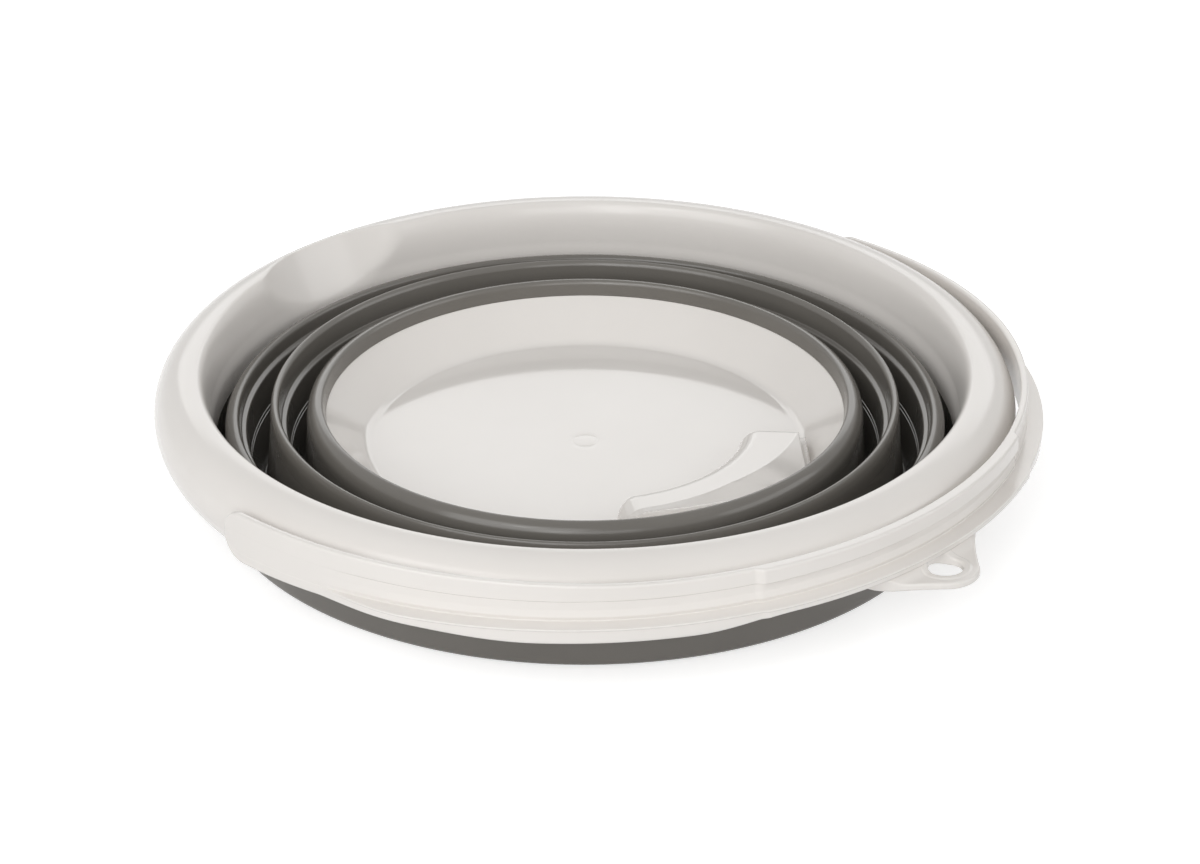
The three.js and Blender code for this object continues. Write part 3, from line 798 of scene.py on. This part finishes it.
def handle_section(offset):
    """The bail's section, distance from the axis and height from the pivots, at an angle."""
    away = abs(offset)
    grip = smooth_step((GRIP_HALF + GRIP_STEP / 2 - away) / GRIP_STEP)
    plain = smooth_step((away - PLAIN_END + PLAIN_TAPER) / PLAIN_TAPER)
    ledge = smooth_step((FLANGE_START - away) / FLANGE_TAPER)
    fading = smooth_step((DROP_END - away) / DROP_FADE)
    dropped = smooth_step((away - DROP_START) / DROP_RUN) * fading
    bead = STRIP_OUTER + BEAD + (GRIP_BEAD - BEAD) * grip
    web = STRIP_OUTER + GRIP_WEB * grip + (BEAD - LEAST_STEP) * plain
    foot = max(STRIP_OUTER + FLANGE * ledge + GRIP_FLANGE * grip, web + 2 * LEAST_STEP)
    lip = FLANGE_LIP * ledge
    top = STRIP_HALF - STRIP_SAG * smooth_step((SAG_END - away) / SAG_FADE)
    bottom = -STRIP_HALF + FLANGE_LESS * fading - FLANGE_DROP * dropped
    return rounded_section([
        (STRIP_INNER, -STRIP_HALF, 0.5),
        (foot - lip, bottom, 1.0),
        (foot - lip, FLANGE_TOP - LIP_ROOT, 0.15),
        (foot, FLANGE_TOP - LIP_FALL, 0.2),
        (foot, FLANGE_TOP, 0.4),
        (web, FLANGE_TOP + WEB_FOOT, 0.25),
        (web + WEB_ROLL * ledge, FLANGE_TOP + WEB_ROLL_RISE, 0.8),
        (web, FLANGE_TOP + WEB_ROLL_END, 2.0),
        (web, BEAD_EDGE, 0.15),
        (bead, BEAD_EDGE + BEAD_STEP, 0.3),
        (bead, top, 0.9),
        (STRIP_INNER, top, 0.8),
    ], steps=4)


def tilted(points):
    """Points of the level handle, in mm, turned to its rest and lifted to the pivots."""
    turn = math.radians(HANDLE_TILT)
    moved = points.copy()
    moved[..., 1] = points[..., 1] * math.cos(turn) + points[..., 2] * math.sin(turn)
    moved[..., 2] = points[..., 2] * math.cos(turn) - points[..., 1] * math.sin(turn)
    moved[..., 2] += PIVOT_HEIGHT
    return moved


strip_middle = (STRIP_INNER + STRIP_OUTER + BEAD) / 2
bail_rows = []
for offset in handle_offsets():
    section = handle_section(offset)
    beyond = max(0.0, math.radians(abs(offset) - HANDLE_END) * STRIP_OUTER)
    share = math.sqrt(max(0.0, 1 - (beyond / END_ROUND) ** 2))
    thin = 1 - END_THINNING * (1 - share) ** 2
    across = strip_middle + (section[:, 0] - strip_middle) * thin
    lift = END_LIFT * smooth_step((-offset - LIFT_START) / LIFT_RUN)
    height = section[:, 1] * share
    height = height + lift * (LIFT_SHARE + (1 - LIFT_SHARE) * height / STRIP_HALF)
    angle = math.radians(RECESS_FRONT + offset)
    bail_rows.append(np.stack([
        across * math.cos(angle), across * math.sin(angle), height,
    ], axis=1))
bail = skin("bail_strip", tilted(np.array(bail_rows)), around=False, caps=True)
bail.data.materials.append(satin_white)
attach(bail, "handle")
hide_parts("bail_handle")

# Hanging tab: a flat ear on the middle of the handle's flange, in one white moulding with it.
# Its eye has a low rounded rim, so that it can hang on a hook.
TAB_EYE = 170.4
TAB_TIP = 12.0
TAB_TIP_ANGLE = 38.0
TAB_ROOT_HALF = 29.0
TAB_NECK_HALF = 20.0
TAB_ROOT_RADIUS = 158.7
TAB_LOW = -10.2
TAB_HIGH = -7.6
TAB_FILLET = 1.4
TAB_FILLET_RUN = 3.5
TAB_FILLET_FROM = 0.1
TAB_FILLET_MOST = 1.2
TAB_HIDDEN_RISE = 0.3
TAB_DROOP = 2.4
TAB_STEPS = 140
EYE_RADIUS = 6.2
EYE_RIM = 2.4
EYE_RIM_RISE = 0.3
EYE_RIM_FALL = 0.7
EYE_RIM_CLEAR = 2.2


def tab_outline():
    """The tab's edge round its eye, as angles and distances from the eye's middle."""
    eye = np.array((0.0, -TAB_EYE))
    turns = np.radians(np.linspace(180 + TAB_TIP_ANGLE, 270, 40))
    tip = eye + TAB_TIP * np.stack([np.cos(turns), np.sin(turns)], 1)
    root = np.array((-TAB_ROOT_HALF, -STRIP_OUTER))
    neck = np.array((-TAB_NECK_HALF, -(STRIP_OUTER + FLANGE)))
    t = np.linspace(0, 1, 60)[:, None]
    flank = root * (1 - t) ** 2 + 2 * neck * t * (1 - t) + tip[0] * t ** 2
    inside = np.stack([np.linspace(0, root[0], 40), np.zeros(40)], 1)
    inside[:, 1] = -np.sqrt(TAB_ROOT_RADIUS ** 2 - inside[:, 0] ** 2)
    half = np.concatenate([inside, flank, tip]) - eye
    whole = np.concatenate([half, half[::-1] * np.array((-1.0, 1.0))])
    return np.unwrap(np.arctan2(whole[:, 1], whole[:, 0])), np.linalg.norm(whole, axis=1)


edge_turns, edge_reach = tab_outline()
order = np.argsort(edge_turns)
first_turn = edge_turns.min()
tab_rows = []
for turn in np.linspace(first_turn, first_turn + 2 * math.pi, TAB_STEPS, endpoint=False):
    reach = float(np.interp(turn, edge_turns[order], edge_reach[order]))
    rim_end = min(EYE_RADIUS + EYE_RIM, reach - EYE_RIM_CLEAR)
    corners = [
        (EYE_RADIUS, TAB_LOW, 0.5),
        (reach, TAB_LOW, 0.8),
        (reach, TAB_HIGH, 0.9),
        (rim_end + EYE_RIM_FALL, TAB_HIGH, 0.5),
        (rim_end, TAB_HIGH + EYE_RIM_RISE, 0.5),
        (EYE_RADIUS, TAB_HIGH + EYE_RIM_RISE, 0.9),
    ]
    blocks = rounded_section(corners, steps=4).reshape(len(corners), -1, 2)
    level = np.linspace(blocks[2][-1], blocks[3][0], 32)[1:-1]
    section = np.concatenate([*blocks[:3], level, *blocks[3:]])
    tab_rows.append(np.stack([
        section[:, 0] * math.cos(turn), section[:, 0] * math.sin(turn) - TAB_EYE, section[:, 1],
    ], axis=1))
tab_grid = np.array(tab_rows)
tab_z = tab_grid[..., 2]
tab_reach = np.hypot(tab_grid[..., 0], tab_grid[..., 1])
past_flange = tab_reach - (STRIP_OUTER + FLANGE + GRIP_FLANGE - FLANGE_LIP)
near = np.clip(1 - past_flange / TAB_FILLET_RUN, 0, TAB_FILLET_MOST)
on_top = smooth_step((tab_z - TAB_LOW) / (TAB_HIGH - TAB_LOW) - TAB_FILLET_FROM)
tab_z = tab_z + TAB_FILLET * near ** 2 * on_top
tab_z = tab_z - TAB_DROOP * smooth_step((tab_reach - STRIP_OUTER) / (FLANGE + 1))
hidden_z = np.minimum(tab_z, TAB_HIGH + TAB_HIDDEN_RISE)
tab_grid[..., 2] = np.where(past_flange < 0, hidden_z, tab_z)
tab = skin("hanging_tab", tilted(tab_grid))
tab.data.materials.append(satin_white)
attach(tab, "handle")

# Studio: a white sweep, large soft lamps and the camera at the photograph's viewing angle.
# Nothing here belongs to the bucket.
SWEEP_HALF = 6.0
SWEEP_WHITE = (0.82, 0.82, 0.82, 1)
SWEEP_GLOW = 0.6
SKY_COLOUR = (1, 0.995, 0.985, 1)
SKY_LIGHT = 0.36
SKY_SHOWN = 1.0
CAMERA_TURN = -136.0
CAMERA_RISE = 26.72
CAMERA_REACH = 1.6
SENSOR_WIDTH = 36.0
FOCAL_PIXELS = 4402.7
PICTURE_WIDTH = 1200
PICTURE_HEIGHT = 864
AXIS_HEIGHT = 0.045
AXIS_PIXEL = (585.1, 373.5)


def shown_rays(tree):
    """A mask of the rays that show the sweep itself: straight, mirrored or let through."""
    path = tree.nodes.new("ShaderNodeLightPath")
    mask = path.outputs["Is Camera Ray"]
    for kind in ("Is Glossy Ray", "Is Transmission Ray"):
        larger = tree.nodes.new("ShaderNodeMath")
        larger.operation = "MAXIMUM"
        tree.links.new(mask, larger.inputs[0])
        tree.links.new(path.outputs[kind], larger.inputs[1])
        mask = larger.outputs[0]
    return mask


floor_mesh = bpy.data.meshes.new("studio_floor")
floor_mesh.from_pydata(
    [(x * SWEEP_HALF, y * SWEEP_HALF, 0) for x, y in ((-1, -1), (1, -1), (1, 1), (-1, 1))],
    [], [(0, 1, 2, 3)],
)
floor = bpy.data.objects.new("studio_floor", floor_mesh)
bpy.context.scene.collection.objects.link(floor)
floor_paint = bpy.data.materials.new("white_sweep")
floor_paint.use_nodes = True
nodes, links = floor_paint.node_tree.nodes, floor_paint.node_tree.links
nodes.clear()
output = nodes.new("ShaderNodeOutputMaterial")
paint = nodes.new("ShaderNodeBsdfDiffuse")
paint.inputs["Color"].default_value = SWEEP_WHITE
glow = nodes.new("ShaderNodeEmission")
glow.inputs["Color"].default_value = (1, 1, 1, 1)
glow.inputs["Strength"].default_value = SWEEP_GLOW
lit = nodes.new("ShaderNodeAddShader")
choose = nodes.new("ShaderNodeMixShader")
links.new(paint.outputs[0], lit.inputs[0])
links.new(glow.outputs[0], lit.inputs[1])
links.new(shown_rays(floor_paint.node_tree), choose.inputs["Fac"])
links.new(paint.outputs[0], choose.inputs[1])
links.new(lit.outputs[0], choose.inputs[2])
links.new(choose.outputs[0], output.inputs["Surface"])
floor_mesh.materials.append(floor_paint)

world = bpy.data.worlds.new("studio_world")
bpy.context.scene.world = world
world.use_nodes = True
nodes, links = world.node_tree.nodes, world.node_tree.links
sky = nodes["Background"]
sky.inputs["Color"].default_value = SKY_COLOUR
strength = nodes.new("ShaderNodeMapRange")
strength.inputs["To Min"].default_value = SKY_LIGHT
strength.inputs["To Max"].default_value = SKY_SHOWN
links.new(shown_rays(world.node_tree), strength.inputs["Value"])
links.new(strength.outputs["Result"], sky.inputs["Strength"])


def lamp(name, turn, rise, reach, size, power, aim=(0, 0, 0.03)):
    """A soft oblong lamp; turn counts from the camera's right hand, anticlockwise from above."""
    data = bpy.data.lights.new(name, "AREA")
    data.shape = "RECTANGLE"
    data.size, data.size_y = size
    data.energy = power
    made = bpy.data.objects.new(name, data)
    turn, rise = math.radians(turn + CAMERA_TURN + 90), math.radians(rise)
    made.location = Vector(aim) + reach * Vector(
        (math.cos(rise) * math.cos(turn), math.cos(rise) * math.sin(turn), math.sin(rise))
    )
    made.rotation_euler = (Vector(aim) - made.location).to_track_quat("-Z", "Y").to_euler()
    bpy.context.scene.collection.objects.link(made)


lamp("key_softbox", turn=-122, rise=34, reach=1.8, size=(1.6, 1.3), power=15)
lamp("front_softbox", turn=-88, rise=24, reach=2.2, size=(1.4, 0.9), power=7)
lamp("back_panel", turn=88, rise=26, reach=2.2, size=(2.4, 0.8), power=8.5)
lamp("right_softbox", turn=-8, rise=22, reach=2.0, size=(1.6, 1.1), power=7.5)
lamp("left_spark", turn=-118, rise=42, reach=1.8, size=(0.2, 0.2), power=0.6)

camera_data = bpy.data.cameras.new("photo_camera")
camera_data.sensor_width = SENSOR_WIDTH
camera_data.lens = FOCAL_PIXELS / PICTURE_WIDTH * SENSOR_WIDTH
camera = bpy.data.objects.new("photo_camera", camera_data)
turn, rise = math.radians(CAMERA_TURN), math.radians(CAMERA_RISE)
back = Vector((math.cos(rise) * math.cos(turn), math.cos(rise) * math.sin(turn), math.sin(rise)))
right = Vector((-math.sin(turn), math.cos(turn), 0))
up = back.cross(right)
pixel = CAMERA_REACH / FOCAL_PIXELS
axis_point = Vector((0, 0, AXIS_HEIGHT))
camera.location = axis_point + back * CAMERA_REACH
aim = (
    axis_point
    + right * (PICTURE_WIDTH / 2 - AXIS_PIXEL[0]) * pixel
    - up * (PICTURE_HEIGHT / 2 - AXIS_PIXEL[1]) * pixel
)
camera.rotation_euler = (aim - camera.location).to_track_quat("-Z", "Y").to_euler()
bpy.context.scene.collection.objects.link(camera)
bpy.context.scene.camera = camera
bpy.context.scene.view_settings.view_transform = "Standard"
